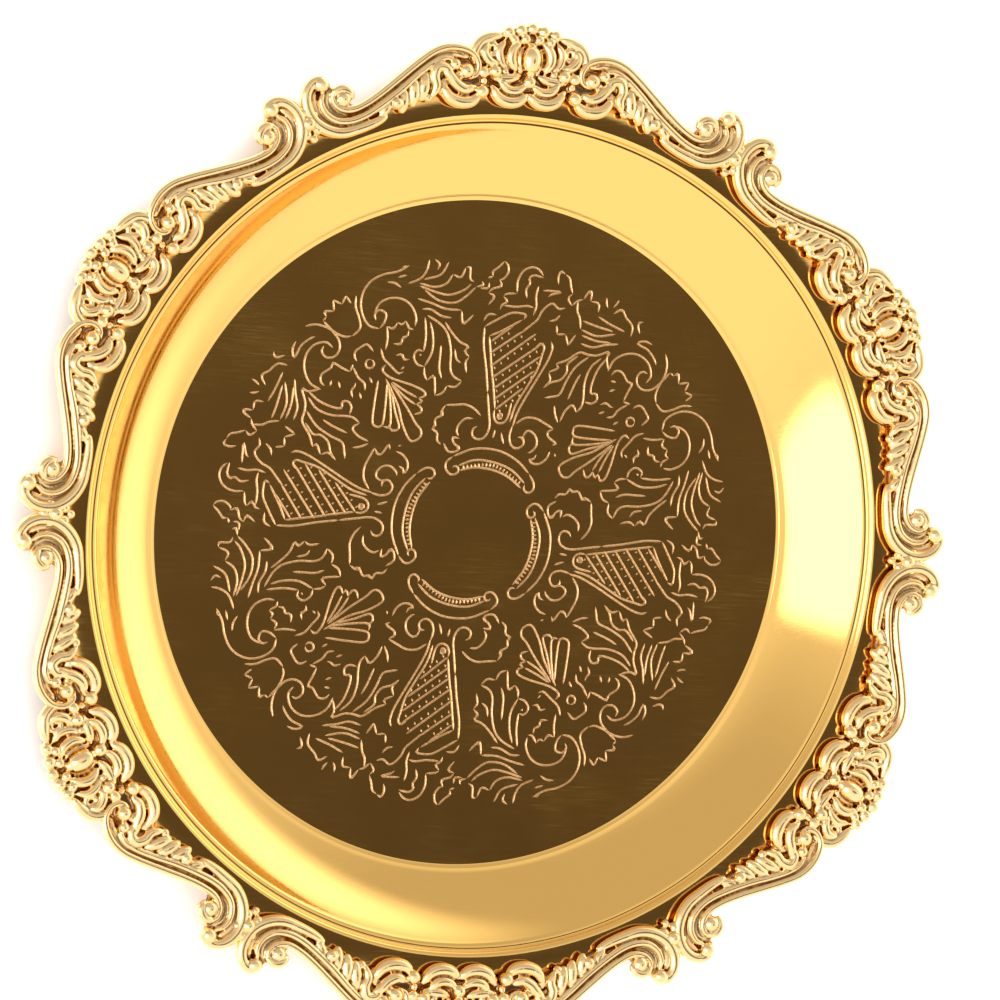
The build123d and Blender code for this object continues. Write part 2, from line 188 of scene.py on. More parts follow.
MOTIFS = {
    "harp_frame": [
        [(-2.1, 15.6), (-1.4, 13.5), (-1.0, 12.3), (-0.95, 11.4), (-1.3, 10.6), (-2.0, 10.3),
         (-2.7, 10.6), (-2.75, 11.3), (-2.3, 11.7)],
        [(-2.1, 15.6), (-2.9, 18.0), (-3.9, 20.6), (-4.3, 22.6)],
        [(-4.3, 22.6), (-2.9, 23.8), (-1.6, 24.8), (-0.4, 25.05), (0.2, 25.0), (0.0, 24.4)],
        [(-0.8, 14.0), (-1.6, 16.4), (-2.3, 18.2), (-2.9, 20.0), (-3.5, 21.7)],
        [(-3.5, 21.7), (-2.2, 22.6), (-0.9, 23.7), (-0.1, 24.4)],
        [(1.75, 12.5), (1.85, 14.0), (2.4, 16.0), (3.3, 18.6), (4.0, 20.8), (4.15, 22.2), (3.8, 22.9)],
        [(1.3, 13.0), (1.5, 15.0), (2.3, 17.3), (3.0, 19.4), (3.15, 21.2), (3.2, 22.0), (2.8, 22.4),
         (2.2, 21.9)],
        [(0.95, 15.2), (0.9, 13.4), (0.45, 12.7), (-0.3, 12.7), (-0.75, 13.3), (-0.8, 14.0)],
        [(0.0, 22.8), (0.9, 23.9), (1.6, 24.8), (1.9, 25.8), (2.4, 26.6), (3.0, 27.0), (3.8, 26.6),
         (4.6, 26.9)],
    ],
    "harp_foot": [
        [(1.7, 12.7), (1.65, 11.5), (2.1, 10.6), (2.9, 10.4), (3.5, 11.0), (3.2, 11.7), (2.6, 11.6)],
        [(3.2, 11.7), (3.5, 12.5), (4.1, 12.6), (4.8, 12.1), (5.05, 11.2), (4.6, 10.4), (4.2, 10.2)],
        [(5.3, 10.3), (5.1, 9.7), (4.6, 9.5), (5.2, 9.2), (6.0, 9.4), (6.6, 10.1), (6.8, 11.0)],
        [(2.0, 13.0), (3.0, 13.9), (4.2, 14.15), (5.3, 13.9), (6.6, 13.5)],
        [(6.6, 13.5), (6.0, 13.0), (6.2, 12.5), (7.3, 12.0), (6.8, 11.7)],
        [(7.4, 10.9), (7.6, 10.5)],
        [(-3.0, 12.4), (-3.9, 12.2), (-4.5, 11.4), (-4.6, 10.6), (-4.2, 10.1)],
        [(-4.0, 9.9), (-4.9, 9.8), (-4.5, 9.2), (-3.8, 8.9), (-4.1, 8.4), (-5.0, 8.2), (-5.8, 9.0)],
        [(-2.2, 12.9), (-3.2, 13.5), (-4.3, 13.7), (-5.4, 13.4), (-6.6, 13.1)],
        [(-6.6, 13.1), (-6.9, 12.3), (-6.6, 12.0), (-7.4, 11.3), (-7.2, 10.6), (-7.5, 10.2), (-6.8, 9.9),
         (-6.6, 9.1), (-6.0, 8.7)],
        [(-0.2, 11.8), (-0.2, 10.8)],
        [(0.6, 11.7), (0.8, 11.2), (1.2, 10.5)],
    ],
    "middle_arc": [
        [(-4.1, 6.5), (-3.8, 6.85), (-3.3, 6.6), (-3.4, 6.05), (-4.1, 5.8), (-4.8, 6.3), (-4.9, 7.0),
         (-4.3, 7.8)],
        [(-4.3, 7.8), (-2.0, 9.2), (0.8, 9.65), (3.2, 9.1), (5.0, 8.0)],
        [(5.0, 8.0), (5.8, 7.1), (5.9, 6.3), (5.4, 5.9), (4.8, 6.2), (4.8, 6.7)],
        [(-3.2, 6.45), (-1.4, 7.2), (0.6, 7.4), (2.6, 7.1), (4.5, 6.2)],
        [(-3.5, 6.9), (-1.6, 8.0), (0.7, 8.25), (2.9, 7.9), (4.8, 6.8)],
    ],
    "hook_scroll": [
        [(-1.5, 27.1), (-1.75, 28.4), (-1.4, 29.6), (-0.5, 30.3), (0.4, 30.25), (1.1, 29.7)],
        [(-0.2, 26.8), (-0.55, 27.7), (-0.25, 28.5), (-0.5, 29.0), (0.0, 29.5), (1.2, 29.5)],
        [(0.8, 28.5), (0.8, 27.3), (1.1, 26.2), (1.0, 25.1)],
        [(-1.5, 27.05), (-2.6, 26.75), (-3.0, 26.4)],
        [(-3.0, 26.4), (-2.4, 25.9), (-2.9, 25.4), (-3.0, 24.8)],
        [(-2.7, 25.4), (-1.2, 25.6), (0.0, 26.0), (0.9, 26.0)],
    ],
    "pointed_leaf": [
        [(1.4, 28.1), (2.4, 28.3), (3.6, 28.45), (2.5, 27.9), (2.2, 27.5)],
        [(3.1, 29.2), (2.85, 29.9), (3.0, 30.7), (3.6, 30.5)],
        [(3.6, 30.5), (4.2, 30.2), (4.6, 29.3), (5.0, 28.6)],
        [(5.0, 28.6), (4.6, 28.0), (5.2, 27.3)],
    ],
    "notched_leaf": [
        [(-5.3, 27.9), (-4.7, 28.2)],
        [(-4.7, 28.2), (-4.9, 28.7), (-4.3, 29.4), (-3.8, 30.2)],
        [(-3.8, 30.2), (-3.3, 29.8), (-3.1, 29.0), (-3.5, 28.2), (-3.9, 28.1)],
        [(-3.9, 28.1), (-3.5, 27.4), (-4.4, 26.9), (-4.8, 26.3)],
        [(-4.8, 26.3), (-4.0, 26.1), (-4.5, 25.0)],
        [(-5.9, 26.6), (-5.0, 26.8), (-5.0, 27.5)],
        [(-4.6, 23.1), (-4.2, 24.0), (-3.2, 24.2)],
    ],
    "star_leaf_beside_harp": [
        [(3.0, 25.0), (3.7, 25.3), (4.15, 26.0)],
        [(4.0, 24.8), (4.3, 23.8)],
        [(4.3, 23.8), (5.3, 24.05)],
        [(5.3, 24.05), (5.9, 22.9)],
        [(5.9, 22.9), (6.5, 24.3)],
        [(6.9, 25.0), (6.5, 26.2), (6.0, 26.9), (5.8, 28.0)],
        [(5.2, 27.3), (5.8, 28.0), (6.4, 28.3)],
    ],
    "upper_frond": [
        [(7.2, 24.4), (9.0, 24.2), (10.9, 24.4)],
        [(7.3, 23.5), (8.8, 23.4), (10.2, 24.0), (11.8, 24.5)],
        [(7.0, 25.0), (9.0, 24.75), (11.2, 25.5)],
        [(6.9, 26.0), (8.6, 25.8), (10.8, 25.7)],
        [(8.6, 26.9), (10.2, 26.4), (12.2, 26.0)],
        [(6.4, 28.3), (6.9, 29.4), (7.2, 29.2), (7.3, 28.3)],
        [(7.3, 28.3), (8.3, 28.3), (8.5, 27.3)],
        [(9.1, 29.2), (9.2, 28.6), (9.5, 28.1)],
        [(10.6, 29.3), (10.4, 28.7), (10.1, 28.3)],
        [(10.3, 27.6), (11.2, 28.3), (11.9, 27.6), (12.9, 26.8), (13.0, 25.6)],
        [(14.1, 27.6), (13.6, 27.4), (13.6, 26.9), (14.0, 26.2)],
    ],
    "feathered_leaf": [
        [(8.9, 22.4), (7.5, 22.5), (6.2, 21.3), (5.0, 20.6)],
        [(5.0, 20.6), (5.4, 20.2), (4.4, 19.5)],
        [(4.4, 19.5), (4.8, 18.6), (4.2, 17.6)],
        [(4.2, 17.6), (4.9, 18.4), (6.0, 19.0), (6.5, 20.0), (6.4, 20.9), (7.4, 22.1)],
        [(8.7, 22.3), (7.4, 20.8), (6.7, 19.0), (6.3, 17.4), (5.4, 16.9), (4.6, 16.6)],
        [(8.2, 20.2), (7.8, 19.0), (7.4, 17.0)],
        [(10.2, 22.5), (9.2, 21.2), (8.9, 19.4), (9.2, 17.6), (9.2, 16.7), (8.8, 15.9)],
        [(8.8, 15.9), (8.1, 16.6), (7.4, 15.7), (7.1, 14.4)],
        [(10.8, 22.6), (10.1, 21.2), (9.8, 19.6), (9.9, 18.4), (10.6, 18.5), (10.8, 17.8), (10.3, 17.3),
         (9.4, 17.3)],
        [(7.5, 22.5), (9.4, 22.6), (10.9, 23.4), (10.8, 22.6), (11.3, 21.4)],
        [(6.0, 16.1), (6.3, 15.2), (6.9, 14.3)],
    ],
    "upper_scroll": [
        [(11.3, 21.2), (11.7, 22.6), (12.9, 23.6), (14.4, 23.9), (15.8, 23.3), (16.5, 22.0), (16.1, 21.0)],
        [(16.1, 22.1), (15.4, 22.2), (14.9, 21.5), (15.2, 20.6), (16.1, 20.25), (17.1, 20.6),
         (17.9, 21.6), (18.7, 22.9)],
        [(15.8, 25.4), (14.8, 25.55), (14.0, 25.1), (15.4, 24.7), (16.4, 23.9), (16.8, 23.3)],
        [(17.6, 24.8), (18.1, 23.6), (18.1, 22.3), (17.7, 20.9), (17.6, 19.9), (17.9, 19.2)],
    ],
    "curled_bud": [
        [(11.8, 20.9), (12.2, 21.5), (13.0, 21.55), (13.9, 20.7), (14.5, 20.6), (14.2, 19.4), (14.0, 18.4)],
        [(14.0, 18.4), (14.9, 18.3)],
        [(14.6, 18.2), (13.6, 17.3), (13.2, 16.5), (12.4, 16.2)],
        [(11.9, 20.3), (12.6, 20.3)],
        [(12.0, 19.1), (12.7, 19.5)],
        [(11.3, 17.4), (12.0, 17.75), (12.6, 17.5), (13.0, 17.5)],
        [(11.4, 16.4), (12.1, 16.8)],
        [(13.4, 15.6), (14.0, 16.1)],
        [(15.3, 17.9), (15.7, 18.3), (16.3, 18.4), (17.0, 17.8), (17.4, 17.2), (16.8, 16.3)],
    ],
    "star_leaf_at_edge": [
        [(18.7, 22.9), (19.2, 22.6)],
        [(19.2, 22.6), (19.7, 23.0), (20.0, 21.9)],
        [(20.0, 21.9), (21.2, 22.35)],
        [(21.2, 22.35), (20.95, 21.2)],
        [(20.95, 21.2), (22.0, 21.0)],
        [(22.0, 21.0), (21.3, 20.2)],
    ],
    "side_scroll": [
        [(17.8, 19.2), (18.9, 18.5), (20.0, 18.9), (21.1, 19.6), (22.3, 19.85)],
        [(19.4, 16.3), (19.45, 17.5), (20.3, 18.5), (21.6, 19.1), (23.0, 19.1), (24.3, 18.5),
         (25.3, 17.3), (26.0, 15.8), (27.0, 14.6)],
        [(19.4, 16.3), (20.2, 15.9), (21.2, 15.95), (21.4, 16.8), (20.8, 17.2), (20.2, 16.9)],
        [(20.9, 17.3), (22.2, 16.9), (23.0, 15.8), (23.2, 14.4), (22.7, 13.2), (21.6, 12.4), (20.6, 12.3)],
    ],
    "side_acanthus": [
        [(24.6, 16.7), (24.7, 15.8), (24.4, 14.9)],
        [(26.5, 15.4), (26.9, 14.9)],
        [(25.4, 15.6), (25.9, 14.6)],
        [(25.0, 14.3), (25.9, 13.0), (27.0, 12.5), (28.2, 12.5)],
        [(28.4, 11.9), (28.0, 11.2), (27.3, 11.3)],
        [(25.9, 12.6), (26.9, 10.8), (28.5, 10.2)],
        [(25.4, 13.0), (25.4, 11.2), (26.1, 9.9), (27.3, 9.4)],
        [(27.3, 9.4), (27.2, 8.4), (28.4, 8.1)],
        [(28.4, 8.1), (28.5, 7.6), (27.3, 7.3), (27.1, 6.7)],
        [(25.1, 12.9), (24.9, 10.8), (25.0, 9.2), (25.9, 7.7), (26.8, 7.0)],
        [(24.8, 12.2), (24.1, 10.3), (24.3, 8.4), (25.4, 7.2), (26.6, 6.4)],
        [(23.7, 12.8), (23.6, 11.0), (23.4, 9.3), (23.7, 7.4)],
        [(23.7, 7.4), (22.3, 6.9), (22.9, 6.3), (23.6, 5.9)],
        [(22.7, 12.0), (22.9, 10.9), (22.5, 9.5), (22.6, 8.3)],
        [(26.6, 6.4), (27.0, 5.6), (27.4, 5.9)],
    ],
    "lower_feather": [
        [(21.9, 11.4), (20.0, 10.8), (18.2, 10.6)],
        [(18.2, 10.6), (18.2, 11.3), (17.4, 11.6), (16.7, 11.0), (16.6, 10.1)],
        [(17.6, 11.0), (17.9, 10.8)],
        [(21.6, 10.7), (20.2, 10.0), (18.4, 9.65), (16.6, 10.1)],
        [(16.6, 10.1), (15.8, 9.9), (15.2, 9.4)],
        [(15.2, 9.4), (15.9, 8.8), (15.0, 8.4), (13.8, 8.1)],
        [(13.8, 8.1), (14.3, 7.3), (15.2, 7.0)],
        [(15.2, 7.0), (15.3, 6.0), (16.1, 5.4)],
        [(16.1, 5.4), (16.4, 6.5), (17.2, 7.1), (19.0, 7.5), (20.7, 8.3), (21.6, 9.4), (22.2, 11.2)],
        [(15.8, 7.8), (16.8, 8.35), (18.2, 8.6), (19.4, 8.8)],
        [(17.1, 5.1), (18.2, 5.5), (18.9, 5.2)],
        [(18.9, 5.2), (19.4, 5.9), (20.0, 5.6), (20.3, 6.8), (21.2, 8.1), (22.0, 9.0)],
        [(18.0, 6.0), (18.4, 6.7), (19.4, 7.1)],
    ],
    "flower": [
        [(15.5, 12.3), (15.2, 12.9), (15.8, 14.0), (16.4, 15.0), (17.4, 15.6)],
        [(15.6, 12.7), (16.1, 12.4)],
        [(17.3, 15.0), (18.6, 15.1), (19.9, 15.5)],
        [(19.9, 15.5), (19.8, 14.7), (20.6, 14.4)],
        [(20.6, 14.4), (20.5, 13.8), (21.0, 13.5)],
        [(21.0, 13.5), (20.3, 12.9), (20.3, 12.3)],
        [(18.2, 14.3), (18.4, 13.4), (19.1, 13.4), (19.4, 12.9), (20.1, 12.9)],
        [(17.0, 13.7), (17.3, 13.0), (16.8, 12.6), (17.0, 12.0)],
    ],
    "shell": [
        [(14.3, 14.2), (11.8, 12.1), (10.0, 11.1), (8.7, 10.1), (8.3, 9.4), (8.9, 8.65), (9.7, 8.7),
         (10.4, 9.6), (11.8, 11.0), (14.0, 13.5)],
        [(11.2, 10.0), (11.6, 9.25), (12.1, 9.3), (12.4, 10.0)],
        [(12.4, 10.0), (12.8, 9.35), (13.1, 9.9)],
        [(13.1, 9.9), (13.5, 9.2), (14.0, 9.5), (14.3, 11.0), (14.5, 13.6), (15.1, 14.8), (15.8, 14.5)],
        [(13.9, 13.4), (12.9, 11.6), (12.3, 10.0)],
        [(14.1, 13.4), (13.5, 11.6), (13.1, 10.0)],
        [(13.8, 13.9), (11.5, 13.5), (9.3, 13.3), (8.9, 13.9), (9.3, 14.5), (11.4, 14.8), (13.9, 15.0)],
        [(13.8, 13.7), (11.2, 12.8), (9.3, 12.4), (9.1, 13.2)],
        [(13.6, 13.4), (11.2, 12.3), (9.4, 11.3), (8.9, 12.0), (9.3, 12.4)],
    ],
}


HARP_BARS = (
    ((-3.2, 21.1), (-0.9, 23.6)),
    ((-3.0, 19.8), (0.3, 23.2)),
    ((-2.6, 18.4), (1.9, 23.3)),
    ((-2.1, 17.2), (2.7, 22.2)),
    ((-1.7, 16.0), (3.05, 21.0)),
    ((-1.3, 14.9), (2.8, 19.3)),
    ((-0.8, 13.9), (1.9, 17.1)),
)
TIE_SPACING = 0.95
TIE_START = 0.22
TIE_LENGTH = 0.36
TIE_SLANT = 0.1
RING = 12  # points on a small engraved ring
SMALL_RINGS = (((0.0, 13.4), 0.32), ((15.4, 16.4), 0.5))
BEADS = 17
BEAD_ARC = ((-3.2, 6.75), (0.65, 7.85), (4.5, 6.55))  # the beaded arc's start, middle and end
BEAD_HALF = 0.3


def harp_strings():
    """The slanting double bars across the harp, with short ties between them."""
    strokes = []
    for foot, head in HARP_BARS:
        strokes.append([foot, head])
        foot_point = np.array(foot)
        along = np.array(head) - foot_point
        length = np.linalg.norm(along)
        along = along / length
        across = np.array((along[1], -along[0]))
        place = TIE_SPACING / 2
        while place < length - TIE_SPACING / 4:
            start = foot_point + along * place + across * TIE_START
            strokes.append([tuple(start), tuple(start + across * TIE_LENGTH - along * TIE_SLANT)])
            place += TIE_SPACING
    return strokes


def ring_stroke(middle, radius):
    """A small closed circle."""
    x, y = middle
    turns = [2 * pi * step / RING for step in range(RING + 1)]
    return [(x + radius * cos(turn), y + radius * sin(turn)) for turn in turns]


def arc_bead_strokes():
    """The beads of the arc round the well's middle: short ticks across its band."""
    arc = smooth_line(BEAD_ARC, steps=(BEADS + 1) // 2)
    strokes = []
    for before, here, after in zip(arc, arc[1:], arc[2:]):
        along = (after - before) / np.linalg.norm(after - before)
        across = np.array((-along[1], along[0]))
        strokes.append([tuple(here - across * BEAD_HALF), tuple(here + across * BEAD_HALF)])
    return strokes


def engraving_strokes():
    """Every stroke of the whole engraving, as evenly sampled lines."""
    quarter = [stroke for motif in MOTIFS.values() for stroke in motif]
    quarter += harp_strings() + arc_bead_strokes()
    quarter += [ring_stroke(middle, radius) for middle, radius in SMALL_RINGS]
    strokes = []
    for turn in range(QUARTERS):
        angle = radians(ENGRAVING_TURN + turn * 360 / QUARTERS)
        spin = np.array(((cos(angle), -sin(angle)), (sin(angle), cos(angle))))
        for stroke in quarter:
            line = np.array(smooth_line(stroke)) if len(stroke) > 2 else np.array(stroke, float)
            strokes.append(evenly_spaced(line @ spin.T, STROKE_STEP))
    return strokes


def evenly_spaced(line, step):
    """The same line with its points about one step apart."""
    lengths = np.concatenate(([0], np.cumsum(np.linalg.norm(np.diff(line, axis=0), axis=1))))
    count = max(2, int(ceil(lengths[-1] / step)))
    places = np.linspace(0, lengths[-1], count + 1)
    return np.column_stack([np.interp(places, lengths, line[:, axis]) for axis in (0, 1)])


def tool_widths(line):
    """Half the groove's width along a stroke: pointed ends and full width between."""
    gaps = np.linalg.norm(np.diff(line, axis=0), axis=1)
    run = np.concatenate(([0], np.cumsum(gaps)))
    nearest_end = np.minimum(run, run[-1] - run)
    taper = min(TAPER, run[-1] / 3)
    share = np.clip(nearest_end / taper, 0, 1)
    return TOOL_HALF_WIDTH * np.sqrt(share)


def groove_depths(points, strokes):
    """How deep the engraving is at each point: V grooves whose depth follows their width."""
    starts = np.vstack([line[:-1] for line in strokes])
    spans = np.vstack([line[1:] for line in strokes]) - starts
    start_widths = np.concatenate([tool_widths(line)[:-1] for line in strokes])
    end_widths = np.concatenate([tool_widths(line)[1:] for line in strokes])
    squares = np.maximum((spans**2).sum(1), NO_LENGTH)
    tree = KDTree(len(starts))
    for place, middle in enumerate(starts + spans / 2):
        tree.insert((*middle, 0), place)
    tree.balance()
    reach = TOOL_HALF_WIDTH + STROKE_STEP / 2
    depths = np.zeros(len(points))
    for row, point in enumerate(points):
        near = [place for _, place, _ in tree.find_range((*point, 0), reach)]
        if near:
            away = point - starts[near]
            share = np.clip((away * spans[near]).sum(1) / squares[near], 0, 1)
            distance = np.linalg.norm(away - share[:, None] * spans[near], axis=1)
            width = start_widths[near] + share * (end_widths[near] - start_widths[near])
            depths[row] = max(0, (width - distance).max())
    return depths * tan(radians(TOOL_ANGLE))


def engraved_well():
    """Points and faces of the well: flat metal cut by the grooves, up to the ring where the wall starts."""
    strokes = engraving_strokes()
    points = [Vector(ring_point(WELL_RADIUS, 0, step)[:2]) for step in range(TURN_STEPS)]
    edges = [(step, (step + 1) % TURN_STEPS) for step in range(TURN_STEPS)]
    for line in strokes:
        widths = tool_widths(line)[:, None]
        along = np.gradient(line, axis=0)
        along /= np.linalg.norm(along, axis=1)[:, None]
        across = np.column_stack((-along[:, 1], along[:, 0]))
        for side in (line, line + across * widths, line - across * widths):
            first = len(points)
            points += [Vector(point) for point in side]
            edges += [(place, place + 1) for place in range(first, len(points) - 1)]
    flat, _, triangles, *_ = delaunay_2d_cdt(points, edges, [], 0, MERGE_GAP)
    flat = np.array([tuple(point) for point in flat])
    depths = groove_depths(flat, strokes)
    solid = [(x, y, WELL_TOP - depth) for (x, y), depth in zip(flat, depths)]
    return solid, triangles, depths


def build_dish():
    """The dish as one turned piece, with the engraved well inside its first ring."""
    section = dish_section()
    points = [ring_point(r, z, step) for r, z in section for step in range(TURN_STEPS)]
    faces = []
    for row in range(len(section) - 1):
        for step in range(TURN_STEPS):
            a = row * TURN_STEPS + step
            b = row * TURN_STEPS + (step + 1) % TURN_STEPS
            faces.append((a, a + TURN_STEPS, b + TURN_STEPS, b))
    last = (len(section) - 1) * TURN_STEPS
    points.append((0, 0, 0))
    for step in range(TURN_STEPS):
        faces.append((last + step, len(points) - 1, last + (step + 1) % TURN_STEPS))
    turned = len(faces)
    well_points, triangles, depths = engraved_well()
    first = len(points)
    points += well_points
    faces += [tuple(first + corner for corner in triangle) for triangle in triangles]
    dish = make_mesh("engraved_dish", points, faces)
    dish.data.materials.append(polished_gold())
    dish.data.materials.append(engraved_gold())
    for face, triangle in zip(list(dish.data.polygons)[turned:], triangles):
        face.use_smooth = False
        if max(depths[corner] for corner in triangle) > CUT_DEPTH:
            face.material_index = 1
    weld = bmesh.new()
    weld.from_mesh(dish.data)
    bmesh.ops.remove_doubles(weld, verts=weld.verts, dist=WELD_GAP)
    bmesh.ops.recalc_face_normals(weld, faces=weld.faces)
    weld.to_mesh(dish.data)
    weld.free()
    return dish


# ---------------------------------------------------------------- the border
# The castings in millimetres, in a sector whose rosette lies on +Y. A bar is its line, half its width and the
# height of its middle over the flange. A bead is its middle, its radius and that height.
BAR_SIDES = 16
CAP_STEPS = 3  # rings in the round end of a bar
BAR_STEPS = 8  # rings between two points of a bar
SLIM_END = 0.5  # a bar's ends, as a share of its middle width
BEAD_STEPS = 8
VOXEL = 0.1  # grid that fuses a casting
SOFTENING = 2  # rounds of smoothing that soften a casting
NEIGHBOURHOOD = 24  # rounds of smoothing that give the general form around a point, which the painted shade of hollows is measured against
FULL_SHADE_HOLLOW = 0.09  # how far a point lies under its neighbourhood when it gets the full painted shade of a hollow
LOW_SHADE_FROM = 0.8  # height over the flange under which the castings get painted shade
LOW_SHADE_SPAN = 0.35
WEB_BOTTOM = 0.02
WEB_TOP = 0.6
WEB_STEPS = 4  # points between two points of a web's outline
LOW, MIDDLE, HIGH = 0.6, 0.85, 1.1  # heights of bars and beads over the flange
LIP_INNER = 49.66
LIP_OUTER = 50.35
LIP_DEPTH = -0.8  # how far the lips reach down from the flange's top

ROSETTE_HALF_BARS = (
    ([(0.2, 48.6), (1.1, 47.95), (2.3, 47.8), (3.4, 48.2), (4.2, 49.2)], 0.74, MIDDLE),
    ([(0.5, 49.6), (1.5, 49.1), (2.6, 49.2), (3.4, 49.9)], 0.55, HIGH),
    ([(1.2, 50.7), (2.1, 50.4), (3.2, 50.3), (4.3, 50.4)], 0.6, MIDDLE),
    ([(3.6, 55.0), (4.9, 54.7), (6.0, 54.1), (6.6, 53.0), (6.5, 51.8)], 0.66, MIDDLE),
    ([(4.0, 51.8), (4.9, 52.1), (5.5, 52.9), (5.3, 53.8)], 0.56, HIGH),
    ([(1.8, 51.4), (2.35, 52.4), (2.2, 53.5), (1.5, 54.3)], 0.6, HIGH),
    ([(2.8, 51.4), (3.5, 52.2), (3.7, 53.3), (3.2, 54.3)], 0.55, MIDDLE),
    ([(0.9, 51.0), (1.2, 52.0), (1.15, 53.2), (0.7, 54.0)], 0.45, LOW),
)
ROSETTE_HALF_LOOPS = (  # middle, half the width, half the length, bar, height
    ((4.6, 53.4), 0.5, 0.62, 0.36, MIDDLE),
)
ROSETTE_HALF_BEADS = (
    ((1.35, 55.7), 0.78, MIDDLE),
    ((2.75, 55.35), 0.76, MIDDLE),
    ((0.8, 54.75), 0.6, HIGH),
    ((2.15, 54.6), 0.58, HIGH),
    ((4.1, 51.0), 0.75, HIGH),
    ((5.4, 50.8), 0.75, MIDDLE),
    ((2.9, 51.1), 0.5, MIDDLE),
    ((5.2, 49.8), 0.5, LOW),
)
ROSETTE_BEADS = (((0.0, 55.95), 0.76, MIDDLE), ((0.0, 50.1), 0.75, HIGH))
BOSS = ([(0.0, 51.2), (0.0, 52.1), (0.0, 53.0), (0.0, 53.9)], 1.15, HIGH)

SCROLL_BARS = (
    ([(5.8, 48.1), (6.7, 47.5), (8.0, 47.4), (9.1, 47.8), (9.9, 48.8)], 0.78, MIDDLE),
    ([(6.5, 49.1), (7.4, 48.8), (8.4, 49.2), (9.2, 50.0), (10.0, 50.6)], 0.66, HIGH),
    ([(7.2, 50.0), (6.3, 50.5), (6.1, 51.6), (6.8, 52.7), (8.1, 53.2), (9.7, 53.2), (11.3, 52.6),
      (13.0, 51.3), (15.0, 49.5), (17.0, 47.7), (18.8, 46.3), (20.4, 45.5), (21.8, 45.6), (22.6, 46.4),
      (22.4, 47.3)], 0.46, HIGH),
    ([(7.4, 52.3), (9.2, 52.6), (11.0, 52.0), (12.8, 50.5), (14.8, 48.6), (16.8, 46.9), (18.8, 45.5),
      (20.4, 44.8)], 0.66, LOW),
    ([(9.2, 52.0), (10.4, 51.9), (11.6, 51.2), (13.2, 49.8), (15.0, 48.0), (17.0, 46.3), (18.8, 45.0),
      (20.4, 44.3), (22.0, 44.2), (23.3, 44.9), (23.9, 46.0), (23.8, 46.9)], 0.44, HIGH),
    ([(16.4, 45.0), (17.6, 44.3), (19.2, 43.6), (21.0, 43.0), (22.8, 43.1), (24.4, 43.9), (25.4, 45.3),
      (25.6, 46.8), (25.0, 48.0), (24.0, 48.4), (23.3, 48.0)], 0.72, MIDDLE),
    ([(19.0, 44.4), (20.6, 43.8), (22.2, 43.7), (23.7, 44.4), (24.6, 45.6), (24.7, 46.9)], 0.55, LOW),
    ([(20.4, 45.0), (21.8, 44.9), (22.9, 45.6), (23.2, 46.6), (22.9, 47.6)], 0.55, LOW),
    ([(9.0, 49.9), (9.8, 50.9), (10.8, 50.9), (11.1, 49.9), (10.8, 48.9), (11.1, 47.9)], 0.62, HIGH),
    ([(20.4, 46.9), (21.0, 47.5), (21.9, 47.6), (22.7, 47.0)], 0.6, HIGH),
)
SCROLL_PETALS = (  # foot, tip, half width, height
    ((12.0, 50.4), (12.4, 47.0), 0.74, MIDDLE),
    ((13.3, 49.6), (13.3, 46.3), 0.72, MIDDLE),
    ((14.4, 48.4), (14.5, 45.5), 0.7, MIDDLE),
    ((15.8, 47.0), (17.0, 44.9), 0.6, MIDDLE),
    ((9.8, 49.9), (10.0, 47.8), 0.6, LOW),
)
SCROLL_BEADS = (
    ((5.5, 48.7), 0.8, HIGH),
    ((7.45, 50.75), 0.88, HIGH),
    ((8.8, 51.4), 0.65, HIGH),
    ((15.2, 46.6), 0.7, HIGH),
    ((21.4, 46.6), 0.95, 0.9),
    ((11.6, 47.5), 0.5, MIDDLE),
    ((24.0, 47.9), 0.9, 0.9),
    ((8.2, 50.2), 0.6, MIDDLE),
)
BUD_BEADS = (
    ((0.0, 50.3), 0.85, HIGH),
    ((-0.95, 50.9), 0.62, MIDDLE),
    ((0.95, 50.9), 0.62, MIDDLE),
    ((-0.7, 49.3), 0.62, MIDDLE),
    ((0.7, 49.3), 0.62, MIDDLE),
    ((0.0, 51.6), 0.66, MIDDLE),
    ((0.0, 48.5), 0.5, LOW),
)

SCROLL_WEB = ((5.0, 49.2), (5.4, 48.3), (6.8, 47.5), (8.9, 47.7), (10.4, 48.2), (12.4, 47.4),
              (14.8, 46.1), (17.0, 45.0), (19.6, 43.6), (21.8, 43.1), (24.0, 43.9), (25.0, 45.4),
              (25.0, 47.0), (24.2, 47.6), (22.8, 47.2), (20.9, 46.7), (19.8, 45.9), (17.4, 47.1),
              (14.0, 50.1), (11.4, 52.2), (8.4, 52.8), (6.6, 51.8), (5.6, 50.6))
ROSETTE_HALF_WEB = ((0.0, 48.4), (2.2, 47.8), (4.0, 48.7), (5.3, 49.7), (6.2, 51.0), (6.6, 52.4),
                    (6.4, 54.0), (4.4, 55.0), (2.6, 55.5), (0.0, 55.9))
BUD_WEB = ((-0.7, 48.8), (0.7, 48.8), (1.3, 50.2), (1.1, 51.4), (0.0, 52.0), (-1.1, 51.4), (-1.3, 50.2))
ROSETTE_LIP = ((-6.4, 6.4),)  # where each casting hooks over the flange, in degrees from +Y
SCROLL_LIPS = ((6.6, 17.0), (24.8, 28.3))
BUD_LIP = ((-1.4, 1.4),)
LIP_STEPS = 12


